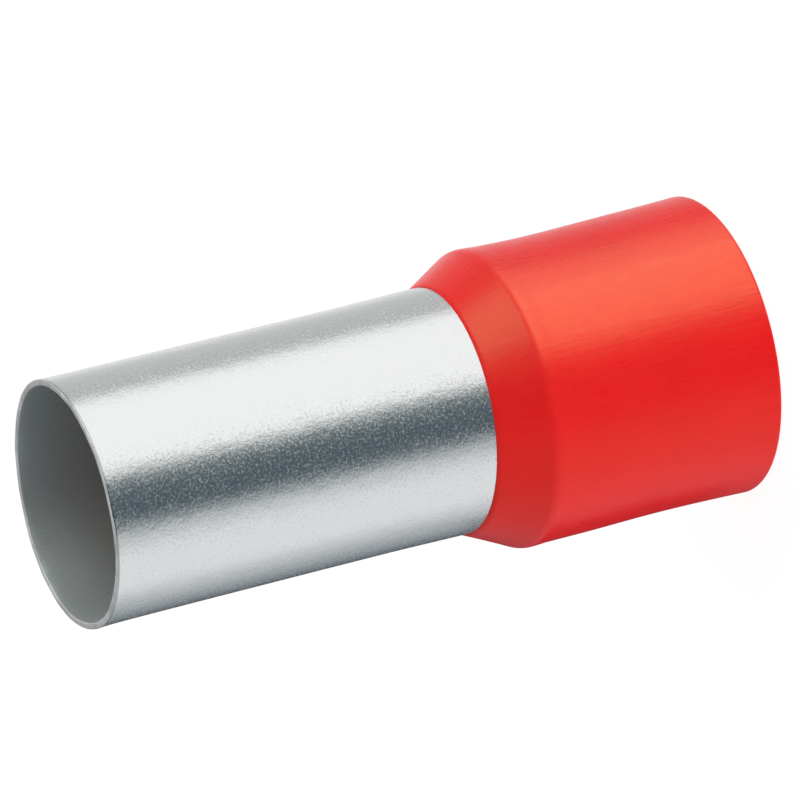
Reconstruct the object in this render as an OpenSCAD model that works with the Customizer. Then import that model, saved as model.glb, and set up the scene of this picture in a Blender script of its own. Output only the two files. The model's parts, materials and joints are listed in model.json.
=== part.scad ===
// Insulated wire ferrule: a tinned copper sleeve with a funnel-flared rear end, seated in a
// thin-walled moulded collar. It stands on the collar's rim at z = 0, with its axis along Z
// and the sleeve's mouth at the top.

/* [Overall] */
// Overall length, from the collar's rim to the sleeve's mouth
overall_length = 44; // [38:0.5:60]
// Length of sleeve that stands out of the collar
sleeve_exposed = 25.35; // [12:0.05:29]

/* [Sleeve] */
// Bore diameter of the straight barrel, which takes the stripped conductor
sleeve_bore = 14.5; // [12:0.1:15.2]
// Wall thickness of the sleeve
sleeve_wall = 0.4; // [0.3:0.05:0.6]
// Radius on the edges of the sleeve's mouth and flare
edge_round = 0.06; // [0.04:0.01:0.14]
// Half-angle of the flare, which the collar's nose follows
funnel_angle = 27; // [20:1:36]
// Bend radius between the barrel and the flare, on the outer side of the wall
flare_bend = 1.5; // [0.6:0.1:2.4]

/* [Collar] */
// Bore diameter of the collar, which takes the wire's insulation
collar_bore = 17.7; // [16.6:0.1:20]
// Wall thickness of the skirt at the rim
rim_wall = 0.6; // [0.5:0.05:1.2]
// Wall thickness of the skirt at its waist
waist_wall = 0.46; // [0.35:0.01:1]
// Height of the waist, as a share of the skirt's height
waist_place = 0.62; // [0.3:0.02:0.8]
// Wall thickness of the skirt just behind the ridge
shoulder_wall = 0.52; // [0.4:0.02:1]
// Wall thickness at the top of the ridge, round the flare's edge
ridge_wall = 0.58; // [0.54:0.02:1.2]
// Width over which the ridge falls away to the skirt
ridge_fall = 1.2; // [0.3:0.1:2]
// Radius that blends the ridge into the nose
ridge_round = 1.2; // [0.5:0.1:3]
// Wall thickness of the nose over the flare, square to its surface
nose_wall = 0.4; // [0.3:0.05:0.9]
// Thickness of the lip's thin edge on the barrel
lip_edge = 0.15; // [0.04:0.01:0.2]
// Least length of straight barrel that the lip grips
lip_grip = 0.1; // [0.05:0.05:0.4]
// Radius on the outer edge of the rim
rim_round = 0.22; // [0.05:0.01:0.28]
// Width of the lead-in bevel inside the rim
lead_in = 0.2; // [0.05:0.01:0.2]
// Steepness of the lead-in bevel, from the axis
lead_in_angle = 30; // [15:5:60]

/* [Fits] */
// Clearance between the sleeve and the collar's lip, bend and seat
seat_gap = 0.01; // [0.005:0.005:0.05]
// Clearance between the flare's edge and the collar's bore
flare_gap = 0.07; // [0.02:0.01:0.15]

/* [Hidden] */

$fn = 128;
bend_steps = 8;
corner_steps = 5;
skirt_steps = 16;

bore_r = sleeve_bore / 2;
barrel_r = bore_r + sleeve_wall;
collar_bore_r = collar_bore / 2;
lip_z = overall_length - sleeve_exposed;

// Directions in the half-section [radius, height]: down along the flare, and square to it
flare_dir = [sin(funnel_angle), -cos(funnel_angle)];
flare_out = [cos(funnel_angle), sin(funnel_angle)];

// The barrel's bend is centred so that the nose keeps its wall over the flare
bend_depth = (nose_wall + seat_gap - flare_bend * (1 - cos(funnel_angle))
    - lip_edge * cos(funnel_angle)) / sin(funnel_angle);
bend_centre = [barrel_r + flare_bend, lip_z - max(bend_depth, lip_grip)];

// Outer edge of the flare before its corners are rounded
flare_start = bend_centre - flare_bend * flare_out;
flare_length = (collar_bore_r - flare_gap - flare_start[0]) / sin(funnel_angle);
flare_edge = flare_start + flare_length * flare_dir;

// Seat inside the nose, down to where it opens into the collar's bore
seat_start = bend_centre - (flare_bend - seat_gap) * flare_out;
seat_end_z = seat_start[1] - (collar_bore_r - seat_start[0]) / tan(funnel_angle);

// Ridge: its round is tangent to the nose, which runs up to the lip's edge
ridge_r = collar_bore_r + ridge_wall;
lip_r = barrel_r + lip_edge;
nose_foot_r = ridge_r - ridge_round * (1 - cos(funnel_angle));
nose_foot_z = lip_z - (nose_foot_r - lip_r) / tan(funnel_angle);
ridge_centre = [ridge_r - ridge_round, nose_foot_z - ridge_round * sin(funnel_angle)];

// Skirt: widest at the rim, narrowest at the waist
rim_r = collar_bore_r + rim_wall;
waist_r = collar_bore_r + waist_wall;
shoulder_r = collar_bore_r + shoulder_wall;
shoulder_z = ridge_centre[1] - ridge_fall;
waist_z = waist_place * shoulder_z;

// Points along an arc from one angle to another
function arc(centre, radius, from, to, steps) = [
    for (i = [0:steps])
        let (angle = from + (to - from) * i / steps)
        centre + radius * [cos(angle), sin(angle)]
];

// Outer radius of the skirt at height z: a parabola to each side of the waist
function skirt_r(z) =
    z < waist_z
        ? waist_r + (rim_r - waist_r) * pow((waist_z - z) / (waist_z - rim_round), 2)
        : waist_r + (shoulder_r - waist_r) * pow((z - waist_z) / (shoulder_z - waist_z), 2);

// Outer radius of the ridge's fall, as a share of the way up from the shoulder
function ridge_fall_r(share) =
    shoulder_r + (ridge_r - shoulder_r) * (1 - cos(180 * share)) / 2;

// Half-section of the sleeve: up the bore, over the mouth, down the outside and round the flare
function sleeve_section() = concat(
    arc(bend_centre, flare_bend + sleeve_wall, 180 + funnel_angle, 180, bend_steps),
    arc([bore_r + edge_round, overall_length - edge_round], edge_round, 180, 90, corner_steps),
    arc([barrel_r - edge_round, overall_length - edge_round], edge_round, 90, 0, corner_steps),
    arc(bend_centre, flare_bend, 180, 180 + funnel_angle, bend_steps),
    arc(flare_edge - edge_round * (flare_dir + flare_out), edge_round,
        funnel_angle, funnel_angle - 90, corner_steps),
    arc(flare_edge - (sleeve_wall - edge_round) * flare_out - edge_round * flare_dir,
        edge_round, funnel_angle - 90, funnel_angle - 180, corner_steps)
);

// Half-section of the collar: down the lip, seat and bore, then up the outside to the lip
function collar_section() = concat(
    [[barrel_r + seat_gap, lip_z]],
    arc(bend_centre, flare_bend - seat_gap, 180, 180 + funnel_angle, bend_steps),
    [
        [collar_bore_r, seat_end_z],
        [collar_bore_r, lead_in / tan(lead_in_angle)],
        [collar_bore_r + lead_in, 0]
    ],
    arc([rim_r - rim_round, rim_round], rim_round, -90, 0, corner_steps),
    [
        for (i = [1:skirt_steps])
            let (z = rim_round + (shoulder_z - rim_round) * i / skirt_steps)
            [skirt_r(z), z]
    ],
    [
        for (i = [1:corner_steps])
            [ridge_fall_r(i / corner_steps), shoulder_z + ridge_fall * i / corner_steps]
    ],
    arc(ridge_centre, ridge_round, funnel_angle / bend_steps, funnel_angle, bend_steps - 1),
    [[lip_r, lip_z]]
);

module sleeve() {
    color([0.80, 0.81, 0.80])
        rotate_extrude()
            polygon(sleeve_section());
}

module collar() {
    color([0.87, 0.10, 0.13])
        rotate_extrude()
            polygon(collar_section());
}

sleeve();
collar();
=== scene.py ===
"""Looks of an insulated wire ferrule: a tinned copper sleeve in a red moulded collar.

It stands on the collar's rim, with its axis along Z. Lengths are in metres. A bearing is an angle in degrees
round the axis: 0 is the front, where the camera stands, and 90 is +X.
"""

import json
import math

import bpy
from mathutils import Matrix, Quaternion, Vector, noise


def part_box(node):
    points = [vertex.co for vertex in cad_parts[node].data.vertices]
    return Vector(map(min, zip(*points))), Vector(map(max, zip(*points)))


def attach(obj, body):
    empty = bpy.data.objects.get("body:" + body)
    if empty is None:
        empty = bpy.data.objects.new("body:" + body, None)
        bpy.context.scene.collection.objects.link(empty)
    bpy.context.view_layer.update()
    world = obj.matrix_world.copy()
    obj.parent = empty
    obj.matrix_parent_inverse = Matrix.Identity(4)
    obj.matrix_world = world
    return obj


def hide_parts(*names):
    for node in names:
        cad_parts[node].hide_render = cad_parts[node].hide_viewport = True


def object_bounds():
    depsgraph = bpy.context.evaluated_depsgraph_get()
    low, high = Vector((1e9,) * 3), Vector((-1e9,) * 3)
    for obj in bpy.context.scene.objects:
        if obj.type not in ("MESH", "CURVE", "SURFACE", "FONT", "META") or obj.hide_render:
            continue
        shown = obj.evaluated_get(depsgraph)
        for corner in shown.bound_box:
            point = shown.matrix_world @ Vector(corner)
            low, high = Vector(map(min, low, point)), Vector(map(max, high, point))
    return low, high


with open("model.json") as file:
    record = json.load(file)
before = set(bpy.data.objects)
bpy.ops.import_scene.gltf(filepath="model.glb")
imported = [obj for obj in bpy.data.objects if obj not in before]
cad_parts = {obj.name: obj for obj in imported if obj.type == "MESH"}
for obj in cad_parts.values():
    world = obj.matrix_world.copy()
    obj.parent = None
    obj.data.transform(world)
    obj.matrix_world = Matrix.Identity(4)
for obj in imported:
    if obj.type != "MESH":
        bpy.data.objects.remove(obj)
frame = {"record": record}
cad_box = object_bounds()

MM = 0.001


def towards(bearing, rise=0):
    """The direction at a bearing and at a rise above the level, both in degrees."""
    turn = math.radians(bearing)
    lift = math.radians(rise)
    return Vector((math.sin(turn) * math.cos(lift), -math.cos(turn) * math.cos(lift), math.sin(lift)))


# The camera looks down on the standing ferrule and is rolled, so that the ferrule lies across the picture.
# Angles are in degrees, and AIM_FROM_CENTRE is where it aims, from the middle of the ferrule.
VIEW_ELEVATION = 22.2
VIEW_ROLL = -103.86
VIEW_DISTANCE = 508 * MM
VIEW_LENS = 373.7
VIEW_SENSOR = 36
VIEW_CLIP = (0.01, 20)
AIM_FROM_CENTRE = Vector((1.25, -0.57, -0.6)) * MM

# Sizes that the frame gives
mounts = {m["name"]: m for m in frame["record"]["mounts"]}
BORE_R = mounts["conductor_bore"]["dims"]["r_mm"] * MM
BARREL_R = mounts["sleeve_outside"]["dims"]["r_mm"] * MM
COLLAR_BORE_R = mounts["insulation_bore"]["dims"]["r_mm"] * MM
MOUTH_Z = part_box("sleeve")[1].z
FLARE_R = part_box("sleeve")[1].x
LIP_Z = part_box("collar")[1].z
RIM_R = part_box("collar")[1].x
WALL = BARREL_R - BORE_R

# Sizes that shape the sections, as in the part's source
FUNNEL_ANGLE = math.radians(27)
FLARE_BEND = 1.5 * MM
EDGE_ROUND = 0.06 * MM
SEAT_GAP = 0.01 * MM
LIP_EDGE = 0.15 * MM
NOSE_WALL = 0.4 * MM
WAIST_WALL = 0.46 * MM
WAIST_PLACE = 0.62
SHOULDER_WALL = 0.52 * MM
RIDGE_WALL = 0.58 * MM
RIDGE_FALL = 1.2 * MM
RIDGE_ROUND = 1.2 * MM
RIM_ROUND = 0.22 * MM
LEAD_IN = 0.2 * MM
LEAD_IN_ANGLE = math.radians(30)

# What follows from them: the flare's direction and its outward normal in the half-section (radius, height),
# and the centre of the bend between the barrel and the flare
FLARE_DIR = Vector((math.sin(FUNNEL_ANGLE), -math.cos(FUNNEL_ANGLE)))
FLARE_OUT = Vector((math.cos(FUNNEL_ANGLE), math.sin(FUNNEL_ANGLE)))
BEND_DEPTH = (
    NOSE_WALL + SEAT_GAP - FLARE_BEND * (1 - math.cos(FUNNEL_ANGLE)) - LIP_EDGE * math.cos(FUNNEL_ANGLE)
) / math.sin(FUNNEL_ANGLE)
BEND_CENTRE = Vector((BARREL_R + FLARE_BEND, LIP_Z - BEND_DEPTH))

# Steps round the axis and along the stretches of the sections
SEGMENTS = 256
BARREL_STEPS = 60
BEND_STEPS = 10
MOUTH_STEPS = 6
WALL_STEPS = 2
FLARE_END_STEPS = 5
SEAT_STEPS = 8
CONE_STEPS = 6
BORE_STEPS = 24
RIM_STEPS = 8
SKIRT_STEPS = 60
FALL_STEPS = 8
RIDGE_STEPS = 9
NOSE_STEPS = 12
SHARP_ANGLE = math.radians(40)

# The rest are flaws of this sample, which the solids don't have.

# The tube's mouth is slightly short and belled, and its -X side is belled further down too.
MOUTH_SHORT = 0.06 * MM
MOUTH_BELL = 0.06 * MM
MOUTH_BELL_REACH = 0.6 * MM
SIDE_BELL = 0.06 * MM
SIDE_BELL_REACH = 7 * MM
# The sawn edge lies high or low at some bearings: (bearing, rise). A wave ends where the cosine of the
# angle to its bearing falls to WAVE_END, and EDGE_REACH below the edge.
MOUTH_WAVES = [(130, -0.07 * MM), (228, 0.14 * MM)]
WAVE_END = 0.65
EDGE_REACH = 1.5 * MM
# The edge's burr, outwards and upwards
BURR_REACH = 0.3 * MM
BURR_OUT = 0.03 * MM
BURR_OUT_SIZE = 1.1 * MM
BURR_UP = 0.035 * MM
BURR_UP_SIZE = 1.6 * MM
# The collar's lip isn't square to the sleeve: it lies lowest between +X and the front. Its edge is bevelled.
LIP_SLANT = 0.28 * MM
SLANT_REACH = 3.2 * MM
LOW_SIDE = towards(75)
LIP_BEVEL = 0.07 * MM
# The tube swells a little where the lip grips it, and the lip's inside follows it.
LIP_SWELL = 0.06 * MM
SWELL_ABOVE = 6 * MM
SWELL_BELOW = 1.5 * MM
SWELL_FADE = 0.1 * MM
# The skirt's waist stands off to -X.
WAIST_SHIFT = 0.08 * MM
WAIST_SHIFT_Z = 11 * MM
WAIST_SHIFT_REACH = 3.5 * MM
# Neither the tube nor the collar's outside is quite true: the height of the waves, their size round the
# axis, and how much less they change along it.
TUBE_WAVE = 0.012 * MM
TUBE_WAVE_SIZE = 9 * MM
TUBE_WAVE_STRETCH = 0.15
SINK = 0.018 * MM
SINK_SIZE = 6 * MM
SINK_STRETCH = 0.6
SINK_FROM_R = COLLAR_BORE_R + 0.3 * MM


# ---------------------------------------------------------------- meshes


def clamp(share):
    """The share, kept between 0 and 1."""
    return max(0, min(1, share))


def smooth(share):
    """A smooth step from 0 to 1."""
    share = clamp(share)
    return share * share * (3 - 2 * share)


def radial(point):
    """The direction from the axis to a point, level with it."""
    return Vector((point.x, point.y, 0)).normalized()


def ripple(point, size, seed, stretch=1):
    """A smooth value from -1 to 1, with bumps about size across. A stretch below 1 draws them out in Z."""
    place = Vector((point.x, point.y, point.z * stretch))
    return noise.noise(place / size + Vector((seed, 2 * seed, 3 * seed)))


def arc(centre, radius, start, end, steps):
    """Points of an arc in the half-section (radius, height), from one angle to another, in radians."""
    angles = [start + (end - start) * i / steps for i in range(steps + 1)]
    return [(centre[0] + radius * math.cos(a), centre[1] + radius * math.sin(a)) for a in angles]


def line(start, end, steps):
    """Points between two ends of a straight stretch, without the ends."""
    shares = [i / steps for i in range(1, steps)]
    return [(start[0] + (end[0] - start[0]) * s, start[1] + (end[1] - start[1]) * s) for s in shares]


def new_object(name, vertices, faces):
    """An object with a mesh of its own, linked to the scene."""
    mesh = bpy.data.meshes.new(name)
    mesh.from_pydata(vertices, [], faces)
    thing = bpy.data.objects.new(name, mesh)
    bpy.context.scene.collection.objects.link(thing)
    return thing


def revolve(name, section, warp):
    """A closed ring mesh from a closed half-section. warp(point) gives the small shift of each vertex."""
    count = len(section)
    vertices = []
    for k in range(SEGMENTS):
        angle = 2 * math.pi * k / SEGMENTS
        for r, z in section:
            point = Vector((r * math.cos(angle), r * math.sin(angle), z))
            vertices.append(point + warp(point))
    faces = []
    for k in range(SEGMENTS):
        here = k * count
        there = (k + 1) % SEGMENTS * count
        for i in range(count):
            j = (i + 1) % count
            faces.append((here + i, here + j, there + j, there + i))
    piece = new_object(name, vertices, faces)
    piece.data.validate()
    piece.data.shade_smooth()
    piece.data.set_sharp_from_angle(angle=SHARP_ANGLE)
    return piece


def flare_end():
    """Points round the flare's rounded end, from the outside to the inside."""
    start = BEND_CENTRE - FLARE_BEND * FLARE_OUT
    # The rounded corner reaches FLARE_R, so the sharp corner lies a little further out.
    sharp_r = FLARE_R - EDGE_ROUND + EDGE_ROUND * (FLARE_DIR.x + FLARE_OUT.x)
    edge = start + FLARE_DIR * ((sharp_r - start.x) / FLARE_DIR.x)
    outer = edge - EDGE_ROUND * (FLARE_DIR + FLARE_OUT)
    inner = edge - (WALL - EDGE_ROUND) * FLARE_OUT - EDGE_ROUND * FLARE_DIR
    end_angle = FUNNEL_ANGLE - math.pi / 2
    return [
        *arc(outer, EDGE_ROUND, FUNNEL_ANGLE, end_angle, FLARE_END_STEPS),
        *arc(inner, EDGE_ROUND, end_angle, FUNNEL_ANGLE - math.pi, FLARE_END_STEPS),
    ]


def sleeve_section():
    """Half-section of the sleeve: up the bore, over the mouth, down the outside and round the flare."""
    straight = math.pi
    bent = math.pi + FUNNEL_ANGLE
    round_z = MOUTH_Z - EDGE_ROUND
    inner_bend = arc(BEND_CENTRE, FLARE_BEND + WALL, bent, straight, BEND_STEPS)
    inner_mouth = arc((BORE_R + EDGE_ROUND, round_z), EDGE_ROUND, math.pi, math.pi / 2, MOUTH_STEPS)
    outer_mouth = arc((BARREL_R - EDGE_ROUND, round_z), EDGE_ROUND, math.pi / 2, 0, MOUTH_STEPS)
    outer_bend = arc(BEND_CENTRE, FLARE_BEND, straight, bent, BEND_STEPS)
    return [
        *inner_bend,
        *line(inner_bend[-1], inner_mouth[0], BARREL_STEPS),
        *inner_mouth,
        *line(inner_mouth[-1], outer_mouth[0], WALL_STEPS),
        *outer_mouth,
        *line(outer_mouth[-1], outer_bend[0], BARREL_STEPS),
        *outer_bend,
        *flare_end(),
    ]


def skirt_r(z, shoulder_z):
    """Outer radius of the collar's skirt at height z: a parabola to each side of the waist."""
    waist_r = COLLAR_BORE_R + WAIST_WALL
    waist_z = WAIST_PLACE * shoulder_z
    if z < waist_z:
        return waist_r + (RIM_R - waist_r) * ((waist_z - z) / (waist_z - RIM_ROUND)) ** 2
    return waist_r + (SHOULDER_WALL - WAIST_WALL) * ((z - waist_z) / (shoulder_z - waist_z)) ** 2


def skirt(shoulder_z):
    """Points up the skirt, from above the rim's round to the shoulder."""
    points = []
    for i in range(1, SKIRT_STEPS + 1):
        z = RIM_ROUND + (shoulder_z - RIM_ROUND) * i / SKIRT_STEPS
        points.append((skirt_r(z, shoulder_z), z))
    return points


def shoulder(shoulder_z):
    """Points up the smooth rise from the skirt to the ridge."""
    points = []
    for i in range(1, FALL_STEPS + 1):
        share = (1 - math.cos(math.pi * i / FALL_STEPS)) / 2
        wall = SHOULDER_WALL + (RIDGE_WALL - SHOULDER_WALL) * share
        points.append((COLLAR_BORE_R + wall, shoulder_z + RIDGE_FALL * i / FALL_STEPS))
    return points


def collar_inside():
    """The inside of the collar's half-section, downwards: the lip, the seat, the bore and its lead-in."""
    seat = arc(BEND_CENTRE, FLARE_BEND - SEAT_GAP, math.pi, math.pi + FUNNEL_ANGLE, SEAT_STEPS)
    seat_end = (COLLAR_BORE_R, seat[-1][1] - (COLLAR_BORE_R - seat[-1][0]) / math.tan(FUNNEL_ANGLE))
    lead_in_top = (COLLAR_BORE_R, LEAD_IN / math.tan(LEAD_IN_ANGLE))
    lead_in_foot = (COLLAR_BORE_R + LEAD_IN, 0)
    return [
        (BARREL_R + SEAT_GAP, LIP_Z),
        *seat,
        *line(seat[-1], seat_end, CONE_STEPS),
        seat_end,
        *line(seat_end, lead_in_top, BORE_STEPS),
        lead_in_top,
        lead_in_foot,
    ]


def collar_outside():
    """The outside of the collar's half-section, upwards: the rim, the skirt, the ridge and the cone."""
    lip_r = BARREL_R + LIP_EDGE
    ridge_r = COLLAR_BORE_R + RIDGE_WALL
    cone_foot_r = ridge_r - RIDGE_ROUND * (1 - math.cos(FUNNEL_ANGLE))
    cone_foot_z = LIP_Z - (cone_foot_r - lip_r) / math.tan(FUNNEL_ANGLE)
    ridge_centre = (ridge_r - RIDGE_ROUND, cone_foot_z - RIDGE_ROUND * math.sin(FUNNEL_ANGLE))
    shoulder_z = ridge_centre[1] - RIDGE_FALL
    first_angle = FUNNEL_ANGLE / (RIDGE_STEPS + 1)
    ridge = arc(ridge_centre, RIDGE_ROUND, first_angle, FUNNEL_ANGLE, RIDGE_STEPS)
    lip = (lip_r, LIP_Z - LIP_BEVEL)
    return [
        *arc((RIM_R - RIM_ROUND, RIM_ROUND), RIM_ROUND, -math.pi / 2, 0, RIM_STEPS),
        *skirt(shoulder_z),
        *shoulder(shoulder_z),
        *ridge,
        *line(ridge[-1], lip, NOSE_STEPS),
        lip,
    ]


def collar_section():
    """Half-section of the collar: down its inside, then up its outside."""
    return [*collar_inside(), *collar_outside()]


def swell(z):
    """How far the tube's wall stands out near the lip, at height z."""
    above = smooth(1 - (z - LIP_Z) / SWELL_ABOVE)
    below = smooth(1 - (LIP_Z - z) / SWELL_BELOW)
    return LIP_SWELL * above * below


def edge_rise(out):
    """How far the sawn edge lies above its nominal height, on the side that out points to."""
    rise = -MOUTH_SHORT
    for bearing, height in MOUTH_WAVES:
        rise += height * smooth((out.dot(towards(bearing)) - WAVE_END) / (1 - WAVE_END))
    return rise


def sleeve_warp(point):
    """The drawn tube is slightly out of true and belled at its mouth, with an uneven, burred edge."""
    out = radial(point)
    depth = MOUTH_Z - point.z
    away = TUBE_WAVE * ripple(point, TUBE_WAVE_SIZE, 1, TUBE_WAVE_STRETCH) + swell(point.z)
    away += MOUTH_BELL * math.exp(-depth / MOUTH_BELL_REACH)
    away += SIDE_BELL * math.exp(-depth / SIDE_BELL_REACH) * max(0, -out.x)
    burr = max(0, 1 - depth / BURR_REACH)
    away += burr * BURR_OUT * ripple(point, BURR_OUT_SIZE, 2)
    up = burr * BURR_UP * ripple(point, BURR_UP_SIZE, 3)
    up += smooth(1 - depth / EDGE_REACH) * edge_rise(out)
    return out * away + Vector((0, 0, up))


def collar_warp(point):
    """The lip is slanted and follows the tube, the waist stands off, and the outside has shallow sinks."""
    out = radial(point)
    r = math.hypot(point.x, point.y)
    near_lip = clamp(1 - (LIP_Z - point.z) / SLANT_REACH)
    down = LIP_SLANT * near_lip * out.dot(LOW_SIDE)
    cone_r = BARREL_R + LIP_EDGE + (LIP_Z - point.z) * math.tan(FUNNEL_ANGLE)
    away = clamp((cone_r - r) / SWELL_FADE) * swell(point.z)
    if r > SINK_FROM_R:
        away += SINK * ripple(point, SINK_SIZE, 4, SINK_STRETCH)
    shift = WAIST_SHIFT * math.exp(-(((point.z - WAIST_SHIFT_Z) / WAIST_SHIFT_REACH) ** 2))
    return out * away - Vector((shift, 0, down))


# ---------------------------------------------------------------- materials


# Colours, in linear values. A pair is a surface's darker and lighter shade.
TIN = (0.85, 0.865, 0.86), (0.875, 0.89, 0.88)
# Painted shade: the thin dark line just below the cut
PAINTED_SHADE_LINE = (0.45, 0.48, 0.5)
SAWN_EDGE = (0.60, 0.615, 0.625), (0.86, 0.87, 0.875)
BORE = (0.44, 0.495, 0.51), (0.52, 0.575, 0.585)
# Painted shade: the bore's colour further in, a little darker and warmer
BORE_PAINTED_SHADE = (0.49, 0.515, 0.505)
COLLAR_RED = (0.79, 0.0035, 0.0105), (0.84, 0.0045, 0.0115)
COLLAR_GLOSS = (1, 1, 0.58)

# The parts of a noise's range that drive a colour or a roughness. Most of its values lie in the middle.
MIDDLE = (0.35, 0.65)
WIDE_MIDDLE = (0.3, 0.7)
SPECKLE = (0.44, 0.68)
PATCHES = (0.4, 0.65)

# The roughness at the ends of those parts. The tin's patches add theirs to its speckle's.
SPECKLE_ROUGHNESS = (0.03, 0.48)
PATCH_ROUGHNESS = (0, 0.07)
SAWN_ROUGHNESS = (0.28, 0.5)
BORE_ROUGHNESS = (0.38, 0.52)
COLLAR_ROUGHNESS = (0.25, 0.35)

# Depths below the mouth: the ends of the painted shade line along the cut, and of the bore's painted shade
PAINTED_SHADE_LINE_DEPTHS = (0.22 * MM, 0.14 * MM)
BORE_PAINTED_SHADE_DEPTHS = (5 * MM, 1.5 * MM)


def new_material(name):
    """A node material with its nodes, its links and its Principled shader."""
    material = bpy.data.materials.new(name)
    material.use_nodes = True
    nodes = material.node_tree.nodes
    return material, nodes, material.node_tree.links, nodes["Principled BSDF"]


def unrolled(nodes, links, radius):
    """The surface of a tube laid flat: the arc length round the axis, then the height, in metres."""
    place = nodes.new("ShaderNodeTexCoord")
    split = nodes.new("ShaderNodeSeparateXYZ")
    angle = nodes.new("ShaderNodeMath")
    angle.operation = "ARCTAN2"
    length = nodes.new("ShaderNodeMath")
    length.operation = "MULTIPLY"
    length.inputs[1].default_value = radius
    flat = nodes.new("ShaderNodeCombineXYZ")
    links.new(place.outputs["Object"], split.inputs["Vector"])
    links.new(split.outputs["Y"], angle.inputs[0])
    links.new(split.outputs["X"], angle.inputs[1])
    links.new(angle.outputs["Value"], length.inputs[0])
    links.new(length.outputs["Value"], flat.inputs["X"])
    links.new(split.outputs["Z"], flat.inputs["Y"])
    return flat.outputs["Vector"]


def height_of(nodes, links):
    """The height above the floor, in metres."""
    place = nodes.new("ShaderNodeTexCoord")
    split = nodes.new("ShaderNodeSeparateXYZ")
    links.new(place.outputs["Object"], split.inputs["Vector"])
    return split.outputs["Z"]


def noise_node(nodes, links, surface, cell, detail, seed, roughness=0.6):
    """A noise over an unrolled surface. cell is its size round the tube and along it, in metres."""
    mapping = nodes.new("ShaderNodeMapping")
    mapping.inputs["Scale"].default_value = (1 / cell[0], 1 / cell[1], 1)
    mapping.inputs["Location"].default_value = (0, 0, seed)
    links.new(surface, mapping.inputs["Vector"])
    texture = nodes.new("ShaderNodeTexNoise")
    texture.inputs["Scale"].default_value = 1
    texture.inputs["Detail"].default_value = detail
    texture.inputs["Roughness"].default_value = roughness
    links.new(mapping.outputs["Vector"], texture.inputs["Vector"])
    return texture.outputs["Fac"]


def spread(nodes, links, value, old, new):
    """Maps a value from its old range to a new one, and keeps it inside."""
    node = nodes.new("ShaderNodeMapRange")
    node.inputs["From Min"].default_value = old[0]
    node.inputs["From Max"].default_value = old[1]
    node.inputs["To Min"].default_value = new[0]
    node.inputs["To Max"].default_value = new[1]
    links.new(value, node.inputs["Value"])
    return node.outputs["Result"]


def total(nodes, links, first, second):
    """The sum of two values."""
    node = nodes.new("ShaderNodeMath")
    links.new(first, node.inputs[0])
    links.new(second, node.inputs[1])
    return node.outputs["Value"]


def shaded(nodes, links, value, old, shades):
    """A colour between two shades, as a value lies in its old range."""
    node = nodes.new("ShaderNodeMix")
    node.data_type = "RGBA"
    node.inputs["A"].default_value = (*shades[0], 1)
    node.inputs["B"].default_value = (*shades[1], 1)
    links.new(spread(nodes, links, value, old, (0, 1)), node.inputs["Factor"])
    return node.outputs["Result"]


def painted(nodes, links, factor, under, colour):
    """A colour laid over another one, as much as the factor says."""
    node = nodes.new("ShaderNodeMix")
    node.data_type = "RGBA"
    node.inputs["B"].default_value = (*colour, 1)
    links.new(factor, node.inputs["Factor"])
    links.new(under, node.inputs["A"])
    return node.outputs["Result"]


def by_depth(nodes, links, depths, new):
    """A value that changes between two depths below the mouth, given with the deeper one first."""
    heights = (MOUTH_Z - depths[0], MOUTH_Z - depths[1])
    return spread(nodes, links, height_of(nodes, links), heights, new)


def bump(nodes, links, height, depth, normal=None):
    """A bump whose full height is depth metres."""
    node = nodes.new("ShaderNodeBump")
    node.inputs["Strength"].default_value = 1
    node.inputs["Distance"].default_value = depth
    links.new(height, node.inputs["Height"])
    if normal:
        links.new(normal, node.inputs["Normal"])
    return node.outputs["Normal"]


def tin_material():
    """Tin plating on the outside: bright, with a fine mottled grain that breaks up its reflections, and a
    painted shade line below the cut.
    """
    material, nodes, links, shader = new_material("tin_plating")
    skin = unrolled(nodes, links, BARREL_R)
    grain = noise_node(nodes, links, skin, cell=(0.18 * MM, 0.17 * MM), detail=3, seed=1, roughness=0.72)
    tufts = noise_node(nodes, links, skin, cell=(0.42 * MM, 0.07 * MM), detail=2, seed=2)
    blotch = noise_node(nodes, links, skin, cell=(1.1 * MM, 1.3 * MM), detail=3, seed=3)
    draw = noise_node(nodes, links, skin, cell=(0.35 * MM, 9 * MM), detail=2, seed=4)
    tint = shaded(nodes, links, grain, MIDDLE, TIN)
    # Painted shade: a thin dark line just below the cut, laid over the tin's colour
    shade_line_mask = by_depth(nodes, links, PAINTED_SHADE_LINE_DEPTHS, (0, 1))
    links.new(painted(nodes, links, shade_line_mask, tint, PAINTED_SHADE_LINE), shader.inputs["Base Color"])
    speckle = spread(nodes, links, grain, SPECKLE, SPECKLE_ROUGHNESS)
    patches = spread(nodes, links, blotch, PATCHES, PATCH_ROUGHNESS)
    links.new(total(nodes, links, speckle, patches), shader.inputs["Roughness"])
    normal = bump(nodes, links, draw, depth=0.002 * MM)
    normal = bump(nodes, links, blotch, depth=0.025 * MM, normal=normal)
    normal = bump(nodes, links, tufts, depth=0.010 * MM, normal=normal)
    normal = bump(nodes, links, grain, depth=0.012 * MM, normal=normal)
    links.new(normal, shader.inputs["Normal"])
    shader.inputs["Metallic"].default_value = 1
    return material


def edge_material():
    """The sawn edge of the mouth: dull and pale, with brighter and darker places."""
    material, nodes, links, shader = new_material("sawn_edge")
    skin = unrolled(nodes, links, BARREL_R)
    grain = noise_node(nodes, links, skin, cell=(0.09 * MM, 0.09 * MM), detail=2, seed=10)
    wear = noise_node(nodes, links, skin, cell=(1.4 * MM, 1.4 * MM), detail=2, seed=11)
    links.new(shaded(nodes, links, wear, MIDDLE, SAWN_EDGE), shader.inputs["Base Color"])
    links.new(spread(nodes, links, grain, MIDDLE, SAWN_ROUGHNESS), shader.inputs["Roughness"])
    links.new(bump(nodes, links, grain, depth=0.012 * MM), shader.inputs["Normal"])
    shader.inputs["Metallic"].default_value = 0.3
    return material


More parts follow.
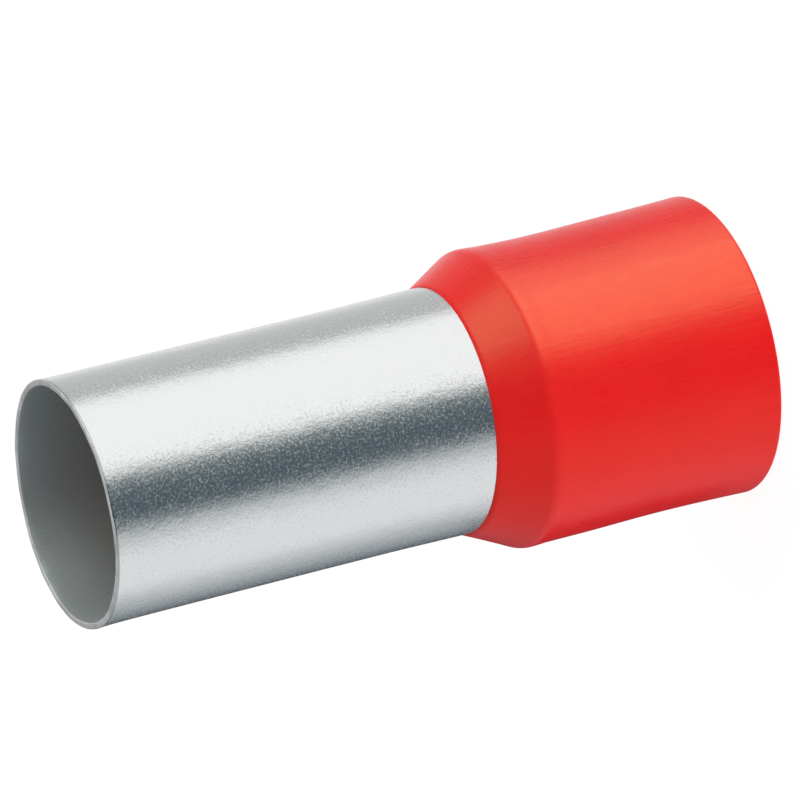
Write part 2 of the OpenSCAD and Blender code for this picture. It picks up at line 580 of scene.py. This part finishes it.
def bore_material():
    """Tin plating inside the tube: dull, with fine lines along it, and painted shade that makes it a little
    darker and warmer further in.
    """
    material, nodes, links, shader = new_material("bore_plating")
    skin = unrolled(nodes, links, BORE_R)
    grain = noise_node(nodes, links, skin, cell=(0.1 * MM, 0.12 * MM), detail=2, seed=5)
    draw = noise_node(nodes, links, skin, cell=(0.08 * MM, 0.7 * MM), detail=3, seed=6)
    tint = shaded(nodes, links, draw, WIDE_MIDDLE, BORE)
    # Painted shade: the bore turns a little darker and warmer further in
    depth_shade_mask = by_depth(nodes, links, BORE_PAINTED_SHADE_DEPTHS, (1, 0))
    links.new(painted(nodes, links, depth_shade_mask, tint, BORE_PAINTED_SHADE), shader.inputs["Base Color"])
    links.new(spread(nodes, links, grain, WIDE_MIDDLE, BORE_ROUGHNESS), shader.inputs["Roughness"])
    normal = bump(nodes, links, draw, depth=0.012 * MM)
    normal = bump(nodes, links, grain, depth=0.004 * MM, normal=normal)
    links.new(normal, shader.inputs["Normal"])
    shader.inputs["Metallic"].default_value = 0.6
    return material


def collar_material():
    """Red moulded polypropylene: satin, with faint flow and drag lines along it and a fine grain."""
    material, nodes, links, shader = new_material("red_polypropylene")
    skin = unrolled(nodes, links, RIM_R)
    cloud = noise_node(nodes, links, skin, cell=(4 * MM, 5 * MM), detail=3, seed=7)
    flow = noise_node(nodes, links, skin, cell=(0.3 * MM, 6 * MM), detail=3, seed=8)
    drag = noise_node(nodes, links, skin, cell=(0.2 * MM, 2.2 * MM), detail=4, seed=12, roughness=0.7)
    grain = noise_node(nodes, links, skin, cell=(0.14 * MM, 0.16 * MM), detail=2, seed=9)
    links.new(shaded(nodes, links, cloud, WIDE_MIDDLE, COLLAR_RED), shader.inputs["Base Color"])
    links.new(spread(nodes, links, drag, MIDDLE, COLLAR_ROUGHNESS), shader.inputs["Roughness"])
    normal = bump(nodes, links, flow, depth=0.010 * MM)
    normal = bump(nodes, links, drag, depth=0.005 * MM, normal=normal)
    normal = bump(nodes, links, grain, depth=0.006 * MM, normal=normal)
    links.new(normal, shader.inputs["Normal"])
    shader.inputs["IOR"].default_value = 1.5
    shader.inputs["Specular Tint"].default_value = (*COLLAR_GLOSS, 1)
    return material


# ---------------------------------------------------------------- pieces


# The sleeve's faces near the mouth that look up are its sawn edge, and those that look inwards are its bore.
SAWN_DEPTH = 0.5 * MM
LOOKS_UP = 0.5
LOOKS_IN = -0.5

# The order of the sleeve's materials
ON_OUTSIDE = 0
ON_BORE = 1
ON_EDGE = 2


def sleeve_surface(face):
    """Which of the sleeve's materials a face has."""
    if face.center.z > MOUTH_Z - SAWN_DEPTH and face.normal.z > LOOKS_UP:
        return ON_EDGE
    if face.normal.dot(radial(face.center)) < LOOKS_IN:
        return ON_BORE
    return ON_OUTSIDE


def make_sleeve():
    """The tinned copper tube, with its bright outside, its duller bore and its sawn edge."""
    piece = revolve("tinned_sleeve", sleeve_section(), sleeve_warp)
    for material in (tin_material(), bore_material(), edge_material()):
        piece.data.materials.append(material)
    for face in piece.data.polygons:
        face.material_index = sleeve_surface(face)
    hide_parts("sleeve")
    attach(piece, "root")


def make_collar():
    """The moulded collar."""
    piece = revolve("moulded_collar", collar_section(), collar_warp)
    piece.data.materials.append(collar_material())
    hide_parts("collar")
    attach(piece, "root")
    return piece


# ---------------------------------------------------------------- studio


# The floor's half width and its grey. The camera sees mostly a white light of its own, so that it looks
# white, and a little grey under it that takes the ferrule's shadow.
FLOOR_REACH = 3
FLOOR_GREY = 0.9
FLOOR_SEEN_GREY = 0.16
FLOOR_SEEN_WHITE = 0.92

# A dark flag close to the collar, which keeps the gloss of its -X side dark
FLAG_BEARINGS = (-180, -118)
FLAG_DISTANCE = 40 * MM
FLAG_HEIGHTS = (-13 * MM, 3 * MM)
FLAG_STEPS = 12
FLAG_GLOW = 0.05

# What gloss sees round the ferrule, below the horizon: (bearing, colour). Dark, grey and white stretches
# follow each other, as a studio's cards and softboxes do.
STUDIO = [
    (-180, (0.04, 0.05, 0.06)),
    (-166, (0.07, 0.085, 0.10)),
    (-150, (0.20, 0.23, 0.25)),
    (-120, (0.48, 0.50, 0.52)),
    (-96, (0.80, 0.80, 0.83)),
    (-60, (0.79, 0.79, 0.81)),
    (-46, (0.60, 0.615, 0.62)),
    (-39, (0.46, 0.485, 0.495)),
    (-33, (0.17, 0.20, 0.22)),
    (-24, (0.075, 0.10, 0.12)),
    (-10, (0.085, 0.115, 0.135)),
    (2, (0.105, 0.135, 0.15)),
    (12, (0.25, 0.28, 0.28)),
    (15, (0.5, 0.52, 0.51)),
    (17, (1.0, 1.0, 1.0)),
    (96, (1.0, 1.0, 1.0)),
    (99, (0.47, 0.48, 0.475)),
    (122, (0.52, 0.525, 0.53)),
    (145, (0.60, 0.605, 0.61)),
    (160, (0.86, 0.87, 0.88)),
    (170, (0.9, 0.9, 0.9)),
    (176, (0.5, 0.5, 0.5)),
    (180, (0.06, 0.07, 0.08)),
]
# Above the horizon the cards are dimmer: the heights (as the sine of the rise) and the shares between which
# they fade.
FADE_SINES = (0.05, 0.35)
FADE_SHARES = (1, 0.6)
# The strength of the even light from all sides
AMBIENT = 0.49

# Fills that light the colours and make no gloss: (name, bearing, rise, watts). The two low ones shine from
# under the floor, which casts no shadow.
FILLS = [
    ("low_fill_left", -50, -40, 3.1),
    ("low_fill_front", 0, -40, 1.1),
    ("upper_fill", 64, 25, 0.68),
    ("back_fill_left", -150, 15, 0.5),
    ("back_fill_right", 125, 15, 1.3),
]
FILL_DISTANCE = 0.8
FILL_SIZE = (0.5, 0.4)

# Softboxes that the collar's gloss shows: (name, bearing, width, watts). They light nothing else.
GLOSS_BOXES = [
    ("lower_softbox", 52, 0.36, 0.66),
    ("lower_side_box", 89, 0.2, 0.15),
]
GLOSS_BOX_RISE = -22
GLOSS_BOX_COLOUR = (1, 0.98, 0.8)

# The softbox above the floor, which lights everything
UPPER_BEARING = 64
UPPER_RISE = 25
UPPER_WIDTH = 0.34
UPPER_WATTS = 0.42
UPPER_COLOUR = (1, 0.98, 0.85)

BOX_DISTANCE = 0.4
BOX_DEPTH = 0.2


def make_camera():
    """The camera, turned about its own line of sight by VIEW_ROLL."""
    camera = bpy.data.objects.new("camera", bpy.data.cameras.new("camera"))
    bpy.context.scene.collection.objects.link(camera)
    aim = (cad_box[0] + cad_box[1]) / 2 + AIM_FROM_CENTRE
    back = towards(0, VIEW_ELEVATION)
    roll = Quaternion((0, 0, 1), math.radians(VIEW_ROLL))
    camera.location = aim + back * VIEW_DISTANCE
    camera.rotation_mode = "QUATERNION"
    camera.rotation_quaternion = (-back).to_track_quat("-Z", "Y") @ roll
    camera.data.lens = VIEW_LENS
    camera.data.sensor_width = VIEW_SENSOR
    camera.data.clip_start = VIEW_CLIP[0]
    camera.data.clip_end = VIEW_CLIP[1]
    bpy.context.scene.camera = camera


def diffuse(nodes, grey):
    """A matt grey shader."""
    node = nodes.new("ShaderNodeBsdfDiffuse")
    node.inputs["Color"].default_value = (grey, grey, grey, 1)
    return node.outputs[0]


def mixed(nodes, links, factor, first, second):
    """A mix of two shaders."""
    node = nodes.new("ShaderNodeMixShader")
    links.new(factor, node.inputs[0])
    links.new(first, node.inputs[1])
    links.new(second, node.inputs[2])
    return node.outputs[0]


def floor_material():
    """White to the camera and matt to the rest."""
    material = bpy.data.materials.new("white_floor")
    material.use_nodes = True
    nodes = material.node_tree.nodes
    links = material.node_tree.links
    nodes.clear()
    white = nodes.new("ShaderNodeEmission")
    white.inputs["Strength"].default_value = FLOOR_SEEN_WHITE
    seen = nodes.new("ShaderNodeAddShader")
    links.new(diffuse(nodes, FLOOR_SEEN_GREY), seen.inputs[0])
    links.new(white.outputs[0], seen.inputs[1])
    ray = nodes.new("ShaderNodeLightPath")
    out = nodes.new("ShaderNodeOutputMaterial")
    matt = diffuse(nodes, FLOOR_GREY)
    surface = mixed(nodes, links, ray.outputs["Is Camera Ray"], matt, seen.outputs[0])
    links.new(surface, out.inputs["Surface"])
    return material


def make_floor():
    """A white floor that keeps a soft shadow, and that gloss and lamps pass through."""
    corners = [(-1, -1), (1, -1), (1, 1), (-1, 1)]
    vertices = [(x * FLOOR_REACH, y * FLOOR_REACH, 0) for x, y in corners]
    floor = new_object("floor", vertices, [(0, 1, 2, 3)])
    floor.data.materials.append(floor_material())
    floor.visible_glossy = False
    floor.visible_shadow = False


def make_flag():
    """A curved dark flag that only gloss sees."""
    first, last = FLAG_BEARINGS
    vertices = []
    for i in range(FLAG_STEPS + 1):
        foot = towards(first + (last - first) * i / FLAG_STEPS) * FLAG_DISTANCE
        vertices += [(foot.x, foot.y, z) for z in FLAG_HEIGHTS]
    faces = [(2 * i, 2 * i + 2, 2 * i + 3, 2 * i + 1) for i in range(FLAG_STEPS)]
    flag = new_object("flag", vertices, faces)
    material, _, _, shader = new_material("dark_card")
    shader.inputs["Base Color"].default_value = (0, 0, 0, 1)
    shader.inputs["Specular IOR Level"].default_value = 0
    shader.inputs["Emission Color"].default_value = (1, 1, 1, 1)
    shader.inputs["Emission Strength"].default_value = FLAG_GLOW
    flag.data.materials.append(material)
    flag.visible_camera = False
    flag.visible_diffuse = False
    flag.visible_transmission = False
    flag.visible_shadow = False


def studio_cards(nodes, links):
    """The cards that gloss reflects, by the bearing and the height of what it sees."""
    place = nodes.new("ShaderNodeTexCoord")
    split = nodes.new("ShaderNodeSeparateXYZ")
    front = nodes.new("ShaderNodeMath")
    front.operation = "MULTIPLY"
    front.inputs[1].default_value = -1
    bearing = nodes.new("ShaderNodeMath")
    bearing.operation = "ARCTAN2"
    links.new(place.outputs["Generated"], split.inputs[0])
    links.new(split.outputs["Y"], front.inputs[0])
    links.new(split.outputs["X"], bearing.inputs[0])
    links.new(front.outputs[0], bearing.inputs[1])
    ramp = nodes.new("ShaderNodeValToRGB")
    stops = ramp.color_ramp.elements
    while len(stops) < len(STUDIO):
        stops.new(0.5)
    for stop, (angle, _) in zip(stops, STUDIO):
        stop.position = (angle + 180) / 360
    for stop, (_, colour) in zip(stops, STUDIO):
        stop.color = (*colour, 1)
    links.new(spread(nodes, links, bearing.outputs[0], (-math.pi, math.pi), (0, 1)), ramp.inputs["Fac"])
    cards = nodes.new("ShaderNodeBackground")
    links.new(ramp.outputs["Color"], cards.inputs["Color"])
    links.new(spread(nodes, links, split.outputs["Z"], FADE_SINES, FADE_SHARES), cards.inputs["Strength"])
    return cards.outputs[0]


def white_light(nodes, strength):
    """An even white background of a strength."""
    node = nodes.new("ShaderNodeBackground")
    node.inputs["Color"].default_value = (1, 1, 1, 1)
    node.inputs["Strength"].default_value = strength
    return node.outputs[0]


def make_world():
    """White to the camera, an even light on the surfaces, and a studio's cards in reflections."""
    world = bpy.data.worlds.new("studio")
    bpy.context.scene.world = world
    world.use_nodes = True
    nodes = world.node_tree.nodes
    links = world.node_tree.links
    nodes.clear()
    ray = nodes.new("ShaderNodeLightPath")
    cards = studio_cards(nodes, links)
    unseen = mixed(nodes, links, ray.outputs["Is Glossy Ray"], white_light(nodes, AMBIENT), cards)
    light = mixed(nodes, links, ray.outputs["Is Camera Ray"], unseen, white_light(nodes, 1))
    out = nodes.new("ShaderNodeOutputWorld")
    links.new(light, out.inputs["Surface"])
    world.cycles.sampling_method = "NONE"


def make_lamp(name, direction, distance, size, watts, colour=(1, 1, 1)):
    """A soft lamp that faces the ferrule, from a direction. size is its width and depth."""
    lamp = bpy.data.lights.new(name, "AREA")
    lamp.shape = "RECTANGLE"
    lamp.size, lamp.size_y = size
    lamp.energy = watts
    lamp.color = colour
    holder = bpy.data.objects.new(name, lamp)
    bpy.context.scene.collection.objects.link(holder)
    middle = (cad_box[0] + cad_box[1]) / 2
    holder.location = middle + direction * distance
    holder.rotation_mode = "QUATERNION"
    holder.rotation_quaternion = (-direction).to_track_quat("-Z", "Y")
    holder.visible_camera = False
    return holder


def make_fills():
    """The lamps that light the colours."""
    for name, bearing, rise, watts in FILLS:
        fill = make_lamp(name, towards(bearing, rise), FILL_DISTANCE, FILL_SIZE, watts)
        fill.visible_glossy = False


def make_upper_box():
    """The softbox above the floor."""
    direction = towards(UPPER_BEARING, UPPER_RISE)
    make_lamp("upper_softbox", direction, BOX_DISTANCE, (UPPER_WIDTH, BOX_DEPTH), UPPER_WATTS, UPPER_COLOUR)


def make_gloss_boxes(collar):
    """The softboxes under the floor, meant for the collar's gloss alone."""
    receivers = bpy.data.collections.new("softbox_receivers")
    receivers.objects.link(collar)
    for name, bearing, width, watts in GLOSS_BOXES:
        direction = towards(bearing, GLOSS_BOX_RISE)
        box = make_lamp(name, direction, BOX_DISTANCE, (width, BOX_DEPTH), watts, GLOSS_BOX_COLOUR)
        box.visible_diffuse = False
        box.light_linking.receiver_collection = receivers


make_camera()
make_sleeve()
collar_piece = make_collar()
make_floor()
make_flag()
make_world()
make_fills()
make_upper_box()
make_gloss_boxes(collar_piece)

bpy.context.scene.view_settings.view_transform = "Standard"
